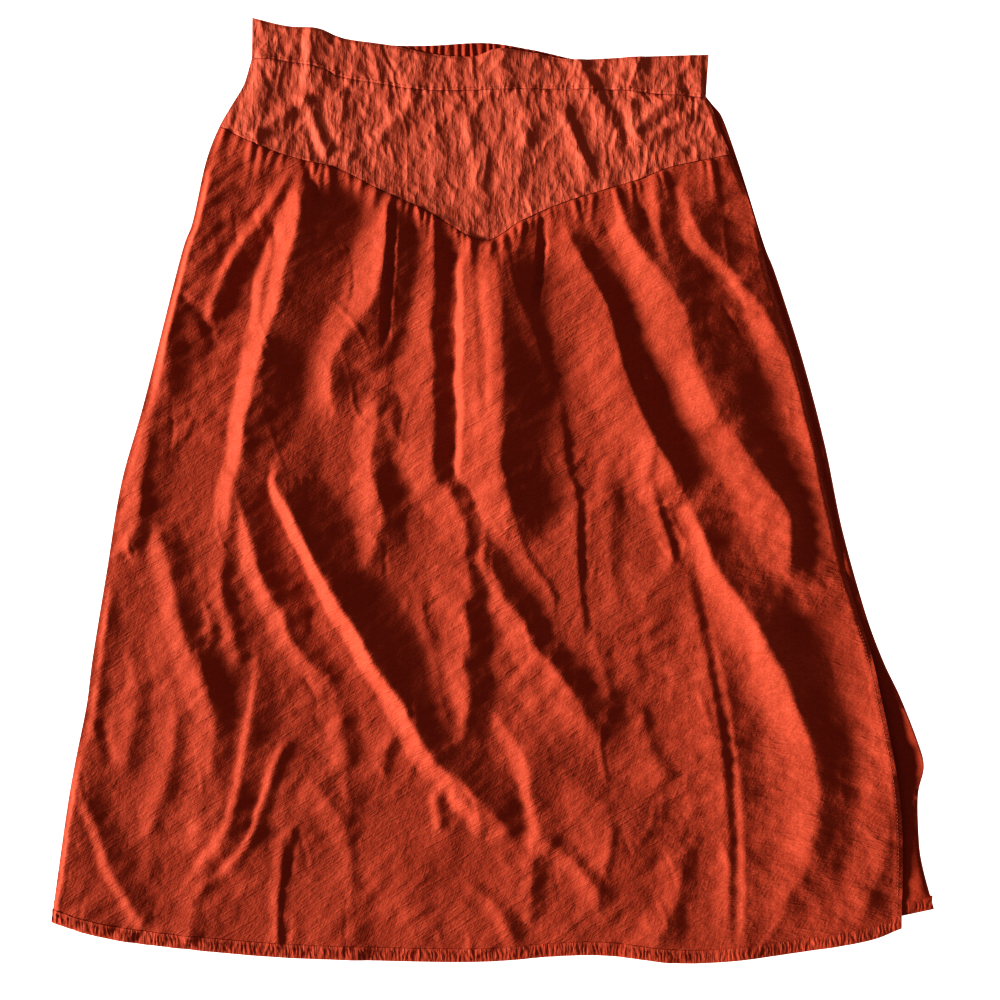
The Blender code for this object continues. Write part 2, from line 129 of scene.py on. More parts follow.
# Broad swells that carry the folds.
SWELLS = {
    "centre": Fold([3, 5, 6, 5, 2], [46, 56, 60, 50], [60, 90, 90, 60], 0, [
        (484, 200), (498, 290), (503, 390), (502, 470), (512, 560),
    ]),
    "right": Fold([2, 4, 5, 4, 2], 60, [50, 56, 50], 0, [
        (655, 190), (684, 300), (706, 370), (742, 440), (780, 520), (790, 620),
    ]),
    "lower middle": Fold([2, 3, 2], 80, 70, 0, [(500, 620), (585, 740), (640, 880)]),
    "lower left": Fold([2, 3, 2], 70, 80, 0, [(190, 600), (225, 740), (260, 900)]),
}
FOLDS = {
    "left roll": Fold([5, 7, 7, 5, 4, 3], [14, 14, 15, 22, 24], [50, 56, 44, 40], (1.2, 1.3), [
        (226, 140), (207, 190), (186, 260), (166, 330), (150, 400), (134, 470), (122, 545),
    ]),
    "left twin": Fold([4, 6, 7, 6, 4], [9, 11, 12, 14], [14, 18, 20, 18], (1.4, 1.3), [
        (300, 158), (283, 190), (258, 224), (240, 250), (226, 275), (214, 300), (207, 336),
    ]),
    "twin line": Fold([3, 5, 6, 5, 3], [8, 10, 12], [14, 18, 18], (1.2, 1.2), [
        (277, 226), (268, 262), (262, 300), (256, 335), (250, 370),
    ]),
    "right twin": Fold([9, 14, 15, 13, 12, 11, 10, 9, 7, 5],
                       [18, 24, 24, 16, 17, 18, 16], [48, 66, 64, 56, 50, 44, 36, 26], (1.3, 1.3), [
        (299, 150), (302, 190), (297, 232), (287, 265), (280, 300), (268, 335), (258, 370), (250, 405),
        (244, 440), (236, 480), (230, 515), (222, 562),
    ]),
    "left sweep": Fold([4, 6, 6, 5, 3], [12, 16, 18], [22, 28, 24], (1.6, 1.3), [
        (234, 455), (241, 500), (250, 540), (262, 580), (280, 610), (293, 642), (318, 672), (338, 696),
    ]),
    "left diagonal": Fold([6, 11, 13, 13, 12, 10, 7, 4],
                          [9, 11, 16, 24, 30], [38, 48, 50, 44, 34], (1.5, 1.3), [
        (254, 440), (268, 456), (277, 468), (276, 484), (287, 507), (311, 552), (335, 598), (362, 640),
        (395, 692), (423, 740), (452, 776), (488, 806), (518, 842), (538, 868),
    ]),
    "shoulder": Fold([7, 11, 11, 9, 6], [50, 60, 58, 34], [24, 44, 44, 30], (2.8, 1.2), [
        (388, 184), (387, 225), (384, 262), (374, 300), (357, 327), (342, 346), (331, 366), (333, 394),
        (340, 432),
    ]),
    "left centre": Fold([3, 5, 6, 5, 3], [26, 32], [24, 32], (1.8, 1.3), [
        (372, 380), (379, 420), (371, 455), (374, 480), (384, 515), (376, 545), (364, 592),
    ]),
    "centre left": Fold([4, 6, 6, 6, 5.5], [28, 36, 38, 36], [15, 17, 18], (1.4, 1.1), [
        (433, 200), (435, 235), (432, 290), (432, 340), (434, 390), (434, 440), (434, 474), (450, 494),
        (463, 522), (467, 558), (471, 592),
    ]),
    "centre left tail": Fold([5, 7, 7, 4], [36, 44, 40], [20, 26], (1.8, 1.2), [
        (465, 545), (471, 588), (465, 604), (469, 640), (463, 662), (470, 695), (463, 730), (457, 765),
    ]),
    "centre step": Fold([3.4, 5.2, 5.4, 5], [6, 7], 40, (1.1, 0.3), [
        (469, 226), (466, 260), (464, 300), (463, 350), (463, 420), (460, 495),
    ]),
    "centre": Fold([6.5, 9.5, 10.5, 10, 7.5], [26, 42, 44, 38, 26], [44, 56, 46, 30], (1.1, 1.4), [
        (485, 226), (495, 262), (501, 305), (503, 350), (504, 400), (502, 445), (506, 490), (520, 535),
        (528, 560),
    ]),
    "centre tail": Fold([4, 5, 7, 6, 4], [16, 26, 34], [18, 22], (1.7, 1.2), [
        (490, 515), (486, 558), (500, 590), (520, 618), (537, 650), (555, 665), (575, 697), (610, 742),
    ]),
    "right centre": Fold([5, 7, 8, 11, 12, 12, 11], [50, 80, 86, 76, 56, 34], [16, 20, 30, 36], (1.6, 1.4), [
        (560, 198), (568, 232), (585, 265), (604, 300), (614, 335), (623, 368), (638, 405), (655, 440),
        (675, 476), (694, 512),
    ]),
    "right diagonal": Fold([6, 11, 13, 12, 9.5, 7, 4.5],
                           [12, 30, 44, 50, 54, 54, 50], [44, 48, 48, 48, 54, 56], (2.0, 1.5), [
        (678, 474), (694, 510), (705, 542), (722, 574), (746, 607), (767, 645), (790, 690), (808, 738),
        (818, 785), (816, 830), (802, 870), (784, 905), (766, 955),
    ]),
    "right twin left": Fold([4, 7, 8, 7.5, 8, 7], [14, 22, 50, 44, 38], [12, 30, 60, 60, 46], (1.6, 1.1), [
        (612, 180), (620, 205), (630, 232), (650, 262), (680, 300), (690, 338), (700, 370), (714, 405),
        (734, 440),
    ]),
    "right twin right": Fold([5, 6, 5, 3], [14, 18, 22], [22, 28], (1.5, 1.3), [
        (653, 166), (659, 205), (663, 238), (672, 266), (688, 298),
    ]),
    "broad hump": Fold([4, 7, 8, 8, 4], [34, 46, 58, 56], [40, 30, 20, 24], (1.8, 1.4), [
        (716, 412), (742, 447), (766, 480), (786, 510), (790, 548), (791, 590),
    ]),
    "right shoulder": Fold([5, 7, 7, 6, 4.6, 4, 4, 4, 3.6],
                           [20, 22, 26, 26, 24, 24], [28, 34, 22, 9, 6, 6], (1.5, 1.2), [
        (680, 168), (688, 200), (697, 230), (723, 262), (757, 300), (778, 335), (792, 370), (804, 410),
        (814, 450), (824, 495), (835, 540), (847, 592),
    ]),
    "slit edge": Fold([2, 4.6, 5.4, 5.4, 4.2], [34, 54, 56], [14, 22, 26], (1.5, 1.2), [
        (850, 590), (866, 640), (880, 700), (889, 750), (893, 790), (884, 850), (871, 895), (850, 950),
    ]),
    "left bulge": Fold([2, 4, 5, 3], [24, 30, 24], [10, 14], (1.3, 1.2), [
        (152, 420), (146, 450), (141, 485), (139, 515), (122, 560),
    ]),
    "middle": Fold([1, 3, 4.4, 4.4, 3], [12, 16], [24, 30], (1.3, 1.3), [
        (478, 700), (512, 732), (527, 768), (534, 805), (538, 832), (530, 868),
    ]),
}
CREASES = {
    "left pocket": Fold(2.2, 14, 18, 1.5, [(170, 280), (163, 325), (171, 355), (168, 380), (176, 405)]),
    "left crossing": Fold(-1.2, 5, 6, 1.4, [(128, 424), (165, 412), (205, 407), (246, 396)]),
    "left branch": Fold(-1.2, 6, 6, 1.4, [(168, 286), (186, 300), (205, 322), (214, 350)]),
    "branch upper": Fold(2.2, 8, 8, 1.4, [(448, 788), (462, 803), (476, 812), (481, 842)]),
    "branch lower": Fold(2.0, 7, 8, 1.4, [(436, 788), (438, 808), (441, 836)]),
    "diagonal spur": Fold(1.6, 10, 8, 1.5, [(398, 724), (388, 748), (380, 778)]),
    "shoulder slit": Fold([-3.5, -4, -3], 3, 5, 1.2, [
        (391, 190), (392, 225), (390, 262), (387, 300), (384, 352),
    ]),
    "right slit": Fold([-3, -4, -2.5], 3, 5, 1.2, [(541, 206), (542, 240), (538, 280), (533, 312)]),
    "left slit": Fold([-3.5, -2.5], 4, 6, 1.3, [(303, 152), (312, 185), (318, 215)]),
    "fan a": Fold(1.2, 10, 7, 1.6, [(412, 340), (382, 356), (352, 366)]),
    "fan b": Fold(1.2, 8, 7, 1.6, [(400, 396), (392, 420), (402, 446)]),
    "faint line": Fold(1.2, 8, 5, 1.6, [(520, 545), (532, 565), (548, 586), (557, 610)]),
    "shadow edge": Fold(1.6, 12, 10, 1.5, [(507, 262), (520, 300), (535, 335), (547, 372), (558, 395)]),
    "thin crease": Fold([1.2, 1.8, 1.8, 1.4], 28, 5, (2.4, 1.2), [
        (546, 372), (558, 400), (566, 465), (577, 495), (578, 560), (586, 640),
    ]),
    "thin groove": Fold([-0.6, -1, -0.7], 3, 5, 1.2, [(568, 465), (582, 497), (583, 560), (591, 650)]),
    "centre dip": Fold([-0.8, -1.4, -1.2], 6, 6, 1.3, [(478, 250), (480, 300), (484, 350), (486, 420)]),
    "hollow line": Fold(1.6, 6, 7, 1.5, [(638, 358), (648, 380), (653, 412)]),
    "right small a": Fold(1.4, 12, 5, 1.6, [(654, 440), (650, 462), (646, 482)]),
    "right small b": Fold([1.4, 2, 1.6], 14, 6, 1.8, [(650, 474), (656, 503), (668, 540), (678, 572)]),
    "long crease": Fold([1.2, 2.4, 2.8, 2.8, 2.8, 2.4], 24, 8, (1.6, 1.2), [
        (686, 520), (686, 560), (693, 600), (704, 650), (714, 700), (721, 745), (726, 790), (729, 835),
        (730, 880), (729, 960),
    ]),
    "right small d": Fold(1.2, 12, 6, 1.6, [(672, 540), (668, 570), (650, 590), (640, 600)]),
    "beside crease": Fold([1.2, 2.6, 3, 3, 2.4], 7, 26, (1.2, 1.2), [
        (709, 600), (719, 650), (729, 700), (736, 745), (741, 790), (744, 835), (745, 880), (744, 962),
    ]),
    "lower left": Fold([2.4, 4.4, 5, 4.6, 3.4, 2], [16, 18, 20, 18], [18, 22, 16], (1.3, 1.2), [
        (148, 508), (163, 545), (171, 575), (178, 610), (190, 650), (205, 690), (215, 714), (212, 760),
        (206, 802),
    ]),
    "small edge left": Fold(2.0, 12, 9, 1.5, [(228, 545), (221, 580), (230, 620), (242, 672)]),
    "small edge right": Fold(1.4, 9, 8, 1.5, [(203, 595), (212, 640), (203, 662), (216, 708)]),
    "left edge low": Fold(2.2, 9, 14, 1.5, [(108, 575), (104, 640), (97, 700), (88, 755)]),
    "left crumple": Fold(-1.5, 8, 8, 1.4, [(100, 716), (106, 740), (112, 770)]),
    "corner dip": Fold([2, 3.4, 3.6], 5, 34, 1.5, [(76, 765), (68, 830), (59, 890), (53, 925)]),
    "sweep shade": Fold([1.6, 2.6, 2], 24, 16, (1.5, 1.3), [(322, 668), (338, 700), (345, 740), (350, 778)]),
    "left long soft": Fold([1.6, 2.4, 1.8], 22, 14, 1.4, [(130, 640), (137, 690), (131, 740), (121, 790)]),
    "left second soft": Fold([1.5, 2.4, 2], 18, 12, 1.4, [(178, 700), (173, 750), (161, 800), (142, 850)]),
    "below bend": Fold([1.6, 2.2, 1.8], 22, 14, 1.5, [(300, 770), (328, 800), (348, 842), (350, 905)]),
    "low hump": Fold([1.6, 2.2, 2], 18, 14, 1.4, [(212, 868), (196, 905), (186, 948)]),
    "lower left inner": Fold([1.5, 2.6, 3.2, 2.8, 2], 6, 18, (1.3, 1.3), [
        (260, 632), (256, 690), (247, 745), (237, 795), (225, 835), (196, 872), (176, 905),
    ]),
    "thin bright": Fold([2, 2.8, 2.6, 2], 4, 8, 1.2, [
        (292, 732), (276, 764), (264, 800), (250, 840), (232, 864), (214, 882),
    ]),
    "hem left": Fold([2.4, 3.4, 3.2, 2.6], [8, 10], 24, 1.5, [
        (78, 788), (97, 828), (110, 868), (128, 900), (154, 940),
    ]),
    "soft lower": Fold(1.8, 30, 30, 1.4, [(520, 742), (548, 762), (590, 795), (622, 820)]),
    "low slant": Fold(2.0, 14, 12, 1.5, [(540, 838), (562, 851), (584, 874), (608, 905)]),
    "low band": Fold(2.0, 12, 16, 1.4, [(534, 852), (532, 890), (530, 928)]),
    "low left slant": Fold(2, 12, 12, 1.5, [(462, 880), (490, 900), (507, 924), (518, 952)]),
    "low right dip": Fold([1.5, 2.2, 2], 26, 20, 1.4, [(614, 835), (604, 862), (598, 890), (600, 925)]),
    "low thin": Fold(1.2, 6, 5, 1.5, [(612, 820), (611, 845), (603, 885)]),
    "hem right": Fold([2, 3.5, 3.5], 24, 22, 1.4, [
        (706, 828), (684, 856), (682, 880), (670, 918), (648, 955),
    ]),
    "hem crease": Fold([1.6, 2.4, 2.4], 12, 4, (1.5, 1.1), [(298, 815), (284, 860), (279, 905), (277, 952)]),
    "hem hollow": Fold([-1.6, -2.4], 4, 6, 1.2, [(290, 835), (285, 900), (284, 952)]),
    "valley line": Fold(1.6, 10, 10, 1.5, [(420, 590), (428, 640), (440, 690), (452, 740)]),
    "low centre": Fold(1.6, 12, 14, 1.4, [(592, 625), (600, 660), (610, 695), (606, 730)]),
    "flat slant a": Fold(1.2, 14, 9, 1.6, [(560, 700), (590, 728), (606, 742)]),
    "flat slant b": Fold(1.4, 16, 12, 1.6, [(640, 700), (650, 745), (672, 790)]),
    "flat slant c": Fold(1.2, 14, 14, 1.5, [(330, 700), (345, 760), (352, 820)]),
    "flat slant d": Fold(1.2, 16, 12, 1.5, [(600, 440), (612, 500), (610, 560), (622, 620)]),
}
YOKE_FOLDS = {
    "waist crease": Fold([2.6, 3.4, 3.6, 2.8], 6, 30, 1.2, [(311, 18), (309, 48), (308, 75), (308, 106)]),
    "waist margin": Fold([1.5, 3, 3, 2], 16, 26, 1.3, [(264, 40), (262, 75), (254, 105), (240, 142)]),
    "pinch left": Fold([2.4, 3.6, 2.4], 12, 11, 1.3, [(312, 94), (280, 117), (246, 142)]),
    "pinch down": Fold([2.6, 3, 2.4], 7, 9, 1.3, [(303, 92), (312, 118), (322, 142), (330, 158)]),
    "left slope": Fold(2.0, 26, 22, 1.4, [(346, 84), (338, 115), (350, 165)]),
    "left light": Fold(2.2, 10, 14, 1.4, [(424, 90), (398, 116), (368, 148)]),
    "band middle": Fold([2, 3, 2.2], 24, 20, 1.4, [(506, 44), (504, 70), (500, 96)]),
    "band middle right": Fold(1.2, 9, 16, 1.4, [(538, 48), (531, 70), (528, 92)]),
    "right curve": Fold([1.6, 2.6, 2.8, 2], 18, 8, 1.5, [(574, 50), (588, 80), (604, 110), (626, 146)]),
    "right slope": Fold([2, 3, 3, 2], 14, 7, 1.6, [(556, 92), (568, 122), (582, 154), (598, 190)]),
    "right fan": Fold([2.4, 3, 2.4], 9, 10, 1.4, [(688, 86), (656, 110), (628, 138)]),
    "right fan low": Fold([1.6, 2.2, 1.8], 9, 10, 1.4, [(706, 116), (672, 124), (640, 146)]),
    "right tie": Fold(1.8, 8, 8, 1.4, [(628, 96), (633, 120), (640, 150)]),
    "yoke middle": Fold([1.2, 1.8, 1.6], 18, 12, 1.5, [(455, 95), (474, 135), (482, 180), (486, 228)]),
    "yoke middle left": Fold(1.4, 14, 16, 1.5, [(432, 120), (440, 150), (434, 190)]),
    "yoke right": Fold(1.6, 26, 16, 1.5, [(532, 96), (522, 150), (516, 205)]),
    "yoke slant": Fold(1.5, 14, 12, 1.5, [(556, 100), (536, 120), (528, 148)]),
    "band left": Fold(1.6, 16, 16, 1.3, [(420, 48), (416, 70), (410, 92)]),
    "band right": Fold(1.6, 18, 12, 1.3, [(640, 52), (636, 72), (630, 96)]),
}
BACK_FOLDS = {
    "slit roll": Fold([3, 4.2, 4.6, 4.2, 3], [10, 14, 16], 5, 1.2, [
        (874, 626), (892, 658), (910, 695), (924, 738), (930, 767), (925, 796), (921, 826),
    ]),
    "side roll": Fold([0.8, 1.6, 1.9, 1.6], 7, 4, 1.2, [
        (757, 226), (776, 283), (800, 358), (823, 446), (840, 529), (862, 612),
    ]),
    "slit low": Fold(1.8, 10, 12, 1.4, [(908, 830), (915, 860), (921, 900)]),
}


def eased(t):
    """0 to 1 along an S curve, as t goes from 0 to 1."""
    t = np.clip(t, 0.0, 1.0)
    return t * t * (3.0 - 2.0 * t)


def smooth_line(points, spacing):
    """Points about a spacing apart on a Catmull-Rom curve through the given ones."""
    given = np.array(points, float)
    ends = np.vstack([2 * given[0] - given[1], given, 2 * given[-1] - given[-2]])
    t = np.linspace(0, 1, 13)[:-1, None]
    fine = []
    for before, start, end, after in zip(ends, ends[1:], ends[2:], ends[3:]):
        bend = 2 * before - 5 * start + 4 * end - after
        twist = -before + 3 * start - 3 * end + after
        fine.append(0.5 * (2 * start + (end - before) * t + bend * t**2 + twist * t**3))
    return evenly(np.vstack(fine + [given[-1:]]), spacing)


def evenly(line, spacing=None, count=None):
    """Points on a line, evenly spaced: so far apart, or so many."""
    along = np.r_[0, np.cumsum(np.hypot(*np.diff(line, axis=0).T))]
    if count is None:
        count = max(2, round(along[-1] / spacing) + 1)
    places = np.linspace(0, along[-1], count)
    return np.column_stack([np.interp(places, along, line[:, axis]) for axis in (0, 1)])


def y_on(line, x):
    """Height on the plan of a line that runs left to right, at x."""
    fine = smooth_line(line, 3)
    return np.interp(x, fine[:, 0], fine[:, 1])


def x_on(line, y):
    """Place across the plan of a line that runs downwards, at y."""
    fine = smooth_line(line, 3)
    return np.interp(y, fine[:, 1], fine[:, 0])


def lowered(line, distance):
    """The line moved down the plan by a distance in metres, or up if it is negative."""
    return line + np.array([0.0, distance / UNIT])


def ripple(u, v, seed):
    """Smooth noise from about -1 to 1, one unit in size: random slopes on a lattice, blended by S curves."""
    turns = np.random.default_rng(seed).uniform(0, 2 * np.pi, (61, 61))
    corner_u, corner_v = np.floor(u).astype(int), np.floor(v).astype(int)
    total = np.zeros(np.broadcast(u, v).shape)
    for step_u in (0, 1):
        for step_v in (0, 1):
            turn = turns[(corner_u + step_u) % 61, (corner_v + step_v) % 61]
            across, down = u - corner_u - step_u, v - corner_v - step_v
            share = (1 - eased(np.abs(across))) * (1 - eased(np.abs(down)))
            total += share * (across * np.cos(turn) + down * np.sin(turn))
    return 1.6 * total


def along_crest(values, place):
    """A fold's height or width at each place from 0 to 1 along its crest."""
    values = np.atleast_1d(values)
    return np.interp(place, np.linspace(0, 1, len(values)), values)


def flank(distance, width, curve):
    """1 on a crest and 0 at its foot: a power of the way up, or an S curve, a little round on the crest."""
    rounded = np.sqrt(distance**2 + CREST_ROUND**2) - CREST_ROUND
    t = np.clip(rounded / width, 0, 1)
    return np.where(curve == 0, 1 - eased(t), (1 - t) ** curve)


def fold_height(fold, x, y, narrow):
    """Height in metres of one ridge: full on its crest, and eased to nothing at its feet and ends."""
    crest = smooth_line(fold.crest, 2.5)
    reach = max(np.max(fold.rise), np.max(fold.fall)) + 1
    low, high = crest.min(axis=0) - reach, crest.max(axis=0) + reach
    near = (x > low[0]) & (x < high[0]) & (y > low[1]) & (y < high[1])
    height = np.zeros(x.shape)
    if not near.any():
        return height
    along = np.gradient(crest, axis=0)
    along /= np.hypot(*along.T)[:, None]
    point = np.column_stack([x[near], y[near]])
    gaps = (point[:, :1] - crest[:, 0]) ** 2 + (point[:, 1:] - crest[:, 1]) ** 2
    nearest = gaps.argmin(axis=1)
    offset = point - crest[nearest]
    tangent = along[nearest]
    side = offset[:, 0] * tangent[:, 1] - offset[:, 1] * tangent[:, 0]
    place = nearest / (len(crest) - 1)
    width = np.where(side < 0, along_crest(fold.rise, place), along_crest(fold.fall, place))
    curves = np.atleast_1d(fold.curve)
    curve = np.where(side < 0, curves[0], curves[-1])
    ends = eased(place / 0.15) * eased((1 - place) / 0.15)
    shape = flank(np.abs(side), width * narrow[near], curve)
    height[near] = 0.001 * along_crest(fold.height, place) * shape * ends
    return height


def folds_height(folds, x, y, narrow):
    """The ridges together: each stands up to its own height, and where two meet they blend."""
    cubes = sum(fold_height(fold, x, y, narrow) ** 3 for fold in folds.values())
    return np.cbrt(cubes)


def creases_height(folds, x, y, narrow):
    """Small ridges and grooves, one on top of another."""
    return sum(fold_height(fold, x, y, narrow) for fold in folds.values())


def wandering(x, y, reach, size, seed):
    """The plan's points moved about a little, so that crests wander as cloth does."""
    return (
        x + reach * ripple(x / size, y / size, seed),
        y + reach * ripple(x / size + 9.5, y / size + 3.5, seed + 1),
    )


def grain_lean(x):
    """How far the crinkle of the panel has leaned up the plan by x: it rises to the right, less so there."""
    fine = np.linspace(0, 1000, 401)
    lean = 0.55 - 0.75 * eased((fine - 560) / 300)
    return np.interp(x, fine, np.cumsum(lean) * (fine[1] - fine[0]))


def front_rest(x, y):
    """Top of the front where it has no fold: on the elastic band, then on the back panel."""
    on_panel = eased((y - y_on(FRONT_BAND_SEAM, x)) / 30)
    return FRONT_REST + BAND_LIFT * (1 - on_panel)


def sewn_side(x, y, top):
    """The top eased down to the side seams, where the front is sewn to the back, but free at the slit."""
    left_width = np.interp(y, (700, 850), (9, 4))  # narrower near the hem
    left = eased((x - x_on(LEFT_SIDE, y)) / left_width)
    right = np.where(y < SLIT_TOP, eased((x_on(RIGHT_SEAM, y) - x) / 5), 1.0)
    freed = eased((y - SLIT_TOP + 20) / FREED)
    held = np.minimum(left, np.maximum(right, freed))
    return EDGE_TOP + (top - EDGE_TOP) * held


def front_top(x, y):
    """Top of the waistband, yoke and panel, without the gathers and the fine wrinkles."""
    below = y - y_on(YOKE_SEAM, x)
    grown = eased(0.35 + below / GROWTH)
    fine_x, fine_y = wandering(x, y, 0.9, 11, 13)
    bent_x, bent_y = wandering(fine_x, fine_y, 2.4, 34, 11)
    narrow = 0.5 + 0.5 * grown
    folds = folds_height(SWELLS, x, y, np.ones(x.shape)) + folds_height(FOLDS, bent_x, bent_y, narrow)
    folds = (folds + creases_height(CREASES, fine_x, fine_y, narrow)) * np.where(below > 0, grown, 0)
    yoke_folds = creases_height(YOKE_FOLDS, fine_x, fine_y, np.ones(x.shape))
    folds = folds + yoke_folds * eased(1 - below / SEAM_REACH)
    right = np.where(y < SLIT_TOP, x_on(RIGHT_SEAM, y), x_on(SLIT_EDGE, y))
    free = eased((y - SLIT_TOP) / FREED)
    margin = np.interp(y, *MARGIN) + 3 * ripple(y / 30, 0 * x, 15)
    left_fade = eased((x - x_on(LEFT_SIDE, y)) / margin)
    right_fade = np.maximum(free, eased((right - x) / 6))
    seam = 0.5 * GATHER_RISE * eased(1 - np.abs(below) / SEAM_REACH)
    return front_rest(x, y) + folds * left_fade * right_fade + seam


def gathers_height(x, below):
    """The gathers under the yoke, one by one: each a narrow ridge of its own length, width and lean."""
    draw = np.random.default_rng(31)
    height = np.zeros(x.shape)
    start = YOKE_SEAM[0][0] + 2.0
    while start < YOKE_SEAM[-1][0] - 2:
        large = draw.random() ** 2.2
        length = 9 + 60 * large * draw.uniform(0.6, 1.2)
        half = 1.7 + 3.2 * large
        rise = 0.001 * (0.3 + 2.4 * large) * draw.uniform(0.7, 1.2)
        lean = draw.uniform(-0.22, 0.22) + 0.25 * (start - 484) / 260
        near = (np.abs(x - start - lean * below) < half * 3.5) & (below < length) & (below > -2)
        down = np.clip(below[near], 0, None)
        spread = half * (1 + 0.9 * down / length)
        off = np.abs(x[near] - start - lean * down) / spread
        fade = eased(1 - down / length) * eased(0.3 + down / 5)
        height[near] = np.maximum(height[near], rise * (1 - eased(off / 1.25)) * fade)
        start += 2.2 + 1.55 * half * draw.uniform(0.7, 1.5)
    return height


def random_creases(x, y, seed, count, box, lean_of):
    """Short fine creases placed by a seeded draw: lean_of gives a crease's slope on the plan from its x."""
    draw = np.random.default_rng(seed)
    height = np.zeros(x.shape)
    for _ in range(count):
        middle_x, middle_y = draw.uniform(box[0], box[2]), draw.uniform(box[1], box[3])
        turn = lean_of(middle_x) + draw.normal(0, 0.3)
        if draw.random() < 0.3:
            turn = draw.uniform(0.9, 2.2)
        length, half = draw.uniform(9, 40), draw.uniform(2.2, 5.5)
        size = draw.uniform(0.25, 0.9) * draw.choice([1, -0.8])
        bow = draw.normal(0, 0.006)
        off_x, off_y = x - middle_x, y - middle_y
        near = (np.abs(off_x) < length + 8) & (np.abs(off_y) < length + 8)
        along = off_x[near] * np.cos(turn) + off_y[near] * np.sin(turn)
        across = off_y[near] * np.cos(turn) - off_x[near] * np.sin(turn) + bow * along**2
        shape = (1 - eased(np.abs(across) / half)) * eased(1.2 - np.abs(along) / length)
        height[near] += 0.001 * size * shape
    return height


def panel_lean(x):
    """Angle of the panel's fine creases, in radians: they rise to the right, but less so on the right."""
    return np.arctan(-0.5 + 0.7 * eased((x - 560) / 300))


def panel_wrinkles(x, y):
    """Wrinkles of the panel: soft waves, streaks along the crinkle's lean, and short creases."""
    lean = y + grain_lean(x)
    waves = 2.6 * ripple(x / 74, y / 62, 21) + 0.8 * ripple(x / 33, y / 38, 22)
    streaks = 1.2 * ripple(x / 36, lean / 14, 23) + 0.8 * ripple(x / 19, lean / 7.5, 24)
    streaks = streaks + 0.35 * ripple(x / 12, y / 15, 26)
    patches = 0.75 + 0.7 * ripple(x / 90, y / 90, 25)
    creases = random_creases(x, y, seed=27, count=460, box=(70, 150, 900, 955), lean_of=panel_lean)
    return 0.001 * (waves + streaks * patches) + creases


def panel_top(x, y):
    """Top of the panel: folds, gathers that fade below the yoke, wrinkles, and the slit's turned edge."""
    below = y - y_on(YOKE_SEAM, x)
    tuck = -0.0008 * (1 - eased(below / 6))
    wrinkles = panel_wrinkles(x, y) * eased(below / 30)
    top = front_top(x, y) + gathers_height(x, below) + tuck + wrinkles
    rim = 0.0005 * eased((x - x_on(SLIT_EDGE, y) + 9) / 2.5) * eased((y - SLIT_TOP) / 6)
    return np.maximum(sewn_side(x, y, top + rim), FRONT_LEAST)


def hem_top(x, y):
    """Top of the front's turned hem: the panel's top, thicker, with close puckers that lean two ways."""
    edge = y_on(FRONT_HEM, x)
    across = (edge - y) / HEM_WIDTH
    turn = x / 5.1 + 0.9 * ripple(x / 8, across, 41) + 0.5 * ripple(x / 23, 0 * x, 42) * across
    puckers = 0.00030 * np.cos(2 * np.pi * turn) * eased(across / 0.25) * eased((1.15 - across) / 0.4)
    rolled = 0.0007 * (1 - eased(across / 0.22))
    stitched = 0.0005 * eased(1 - np.abs(across - 0.9) / 0.16)
    return panel_top(x, y) + HEM_EXTRA + puckers - rolled - stitched


def crinkle(x, y, seed):
    """Strong crinkle that runs down the plan, in metres: streaks of two sizes, deeper in some places."""
    bent = x + 3.0 * ripple(x / 26, y / 19, seed)
    streaks = 0.24 * ripple(bent / 8.5, y / 24, seed + 1) + 0.12 * ripple(bent / 4.6, y / 12, seed + 2)
    large = np.abs(ripple((bent + 0.35 * y) / 27, y / 38, seed + 5))
    small = np.abs(ripple((bent - 0.25 * y) / 15, y / 19, seed + 6))
    return 0.001 * (-1.7 * large - 1.0 * small + streaks * (0.9 + 1.0 * ripple(x / 45, y / 40, seed + 3)))


def upright(x):
    """Angle of the yoke's and waistband's fine creases, which run down the plan."""
    return np.pi / 2


def seam_puckers(x, y, line, seed):
    """Small humps along both sides of the waistband's seam, in metres."""
    off = np.abs(y - y_on(line, x))
    wave = np.cos(2 * np.pi * (x / 7.6 + 0.8 * ripple(x / 11, 0 * x, seed)))
    return 0.00035 * wave * eased(1 - off / 9) - 0.0005 * eased(1 - off / 2.2)


def yoke_top(x, y):
    """Top of the yoke: folds, strong crinkle, puckers at the waistband, and a turned lower edge."""
    below = y - y_on(YOKE_SEAM, x)
    turned = 0.0005 * eased(1 + below / 5)
    creases = random_creases(x, y, seed=53, count=110, box=(220, 60, 735, 240), lean_of=upright)
    top = front_top(x, y) + crinkle(x, y, 51) + creases + seam_puckers(x, y, FRONT_BAND_SEAM, 56) + turned
    return np.maximum(sewn_side(x, y, top), FRONT_LEAST)


def band_top(x, y):
    """Top of the front waistband: folds, strong crinkle, puckers at its seam, and a folded upper edge."""
    under = (y - y_on(FRONT_BAND_TOP, x)) / 3.5
    folded = 0.0011 * (1 - eased(under))
    creases = random_creases(x, y, seed=63, count=40, box=(250, 20, 710, 92), lean_of=upright)
    top = front_top(x, y) + crinkle(x, y, 61) + creases + seam_puckers(x, y, FRONT_BAND_SEAM, 56) + 0.0003
    return np.maximum(sewn_side(x, y, top - folded), BAND_LEAST)


def elastic_top(x, y):
    """Top of the back waistband, with a rib for each gather of its elastic."""
    under = y - y_on(BACK_BAND_TOP, x)
    turn = 58 * (x - 252) / 457 + 0.25 * ripple(x / 10, under / 24, 71)
    size = 1.0 + 0.4 * ripple(x / 17, 0 * x, 72)
    return BACK_THICK + 0.0006 * (1 + np.cos(2 * np.pi * turn)) * size * eased(0.4 + under / 3)


